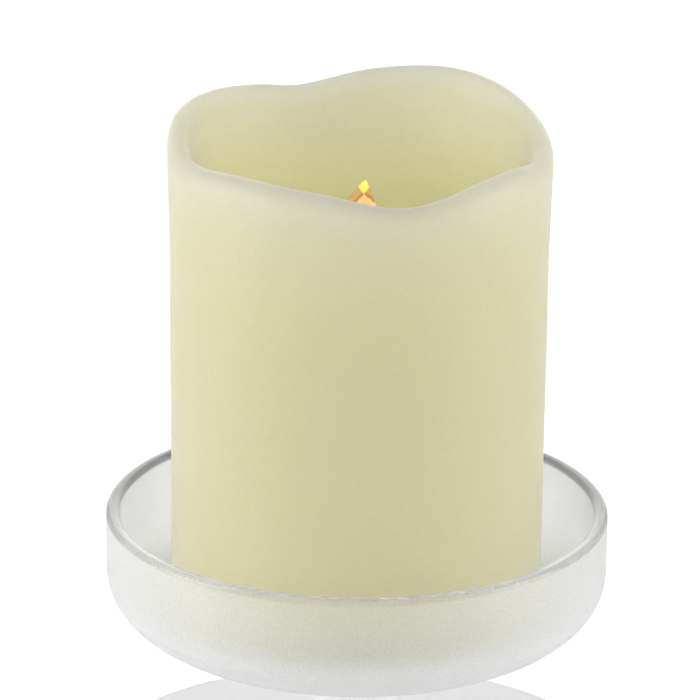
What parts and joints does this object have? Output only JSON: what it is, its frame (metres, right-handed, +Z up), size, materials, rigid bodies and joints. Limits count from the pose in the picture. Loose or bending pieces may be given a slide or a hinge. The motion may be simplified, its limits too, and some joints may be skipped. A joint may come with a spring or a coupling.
{
  "type": "pillar candle holder",
  "caption": "Frosted glass pedestal dish on a short stem and wide round foot, holding a wavy-rimmed wax pillar with a flameless lamp, batteries and a twist-off base cover inside.",
  "frame": {"origin": "centre of the foot's underside, where the holder stands", "axes": "+Z up along the candle, -Y towards the front of the picture, +X to its right"},
  "size_m": [0.12, 0.12, 0.15],
  "materials": {
    "frosted_glass": "frosted, with a polished rim",
    "wax": "ivory wax, soft satin",
    "flame_plastic": "translucent, lit from inside",
    "lamp_resin": "clear resin, lit",
    "housing_plastic": "moulded, fine texture",
    "board_green": "solder mask",
    "black_plastic": "moulded",
    "capacitor_tan": "fired",
    "screw_steel": "zinc plated",
    "contact_metal": "nickel plated",
    "cell_jacket": "plain printed sleeve",
    "switch_metal": "pressed tin plate",
    "black_wire": "insulation",
    "red_wire": "insulation"
  },
  "bodies": {
    "holder": {"glass_dish": "frosted_glass", "glass_stem": "frosted_glass", "glass_foot": "frosted_glass"},
    "candle": {"wax_pillar": "wax", "flame_lens": "flame_plastic", "lamp": "lamp_resin", "lamp_leads": "contact_metal", "lens_cap": "housing_plastic", "circuit_board": "board_green", "flicker_chip": "black_plastic", "resistors": "black_plastic", "capacitor": "capacitor_tan", "board_screws": "screw_steel", "battery_tower": "housing_plastic", "top_contacts": "contact_metal", "battery_springs": "contact_metal", "battery_cell_1": "cell_jacket", "battery_cell_2": "cell_jacket", "battery_cell_3": "cell_jacket", "bottom_contacts": "contact_metal", "contact_disc": "housing_plastic", "tower_screws": "screw_steel", "base_plate": "housing_plastic", "switch_body": "switch_metal", "switch_pins": "contact_metal", "switch_wire": "black_wire", "board_wire": "red_wire"},
    "cover": {"battery_cover": "housing_plastic"},
    "knob": {"switch_knob": "black_plastic"}
  },
  "joints": [
    {"name": "candle_lift", "type": "slide", "parent": "holder", "child": "candle", "axis": [0, 0, 1], "range_m": [0, 0.05]},
    {"name": "cover_twist", "type": "hinge", "parent": "candle", "child": "cover", "pos_m": [0, 0, 0.0448], "axis": [0, 0, -1], "range_deg": [0, 30]},
    {"name": "switch_slide", "type": "slide", "parent": "candle", "child": "knob", "axis": [-0.5, 0.866, 0], "range_m": [0, 0.003]}
  ]
}
